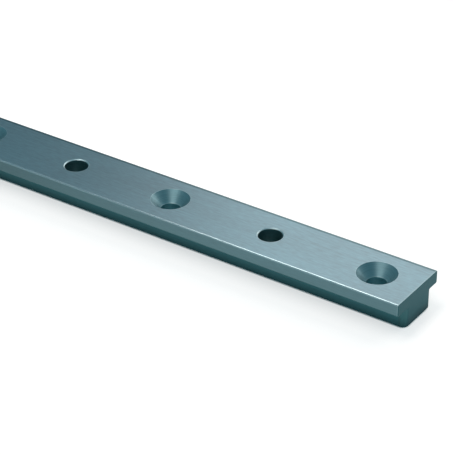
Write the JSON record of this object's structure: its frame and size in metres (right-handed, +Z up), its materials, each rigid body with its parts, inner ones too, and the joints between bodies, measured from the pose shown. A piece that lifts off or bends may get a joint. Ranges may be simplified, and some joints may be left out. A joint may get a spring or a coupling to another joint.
{
  "type": "t-track rail",
  "caption": "Straight T-section sailing track with countersunk fixing holes and plain stop holes in turn along its centre.",
  "frame": {"origin": "middle of the underside of the track", "axes": "+X along the track towards the end whose first hole is countersunk, +Y across it, +Z up from the deck through the flange's top"},
  "size_m": [1, 0.03, 0.0142],
  "materials": {
    "anodised_aluminium": "blue-grey tinted anodising over fine lengthwise brushing, satin"
  },
  "bodies": {
    "root": {"rail": "anodised_aluminium"}
  },
  "joints": []
}
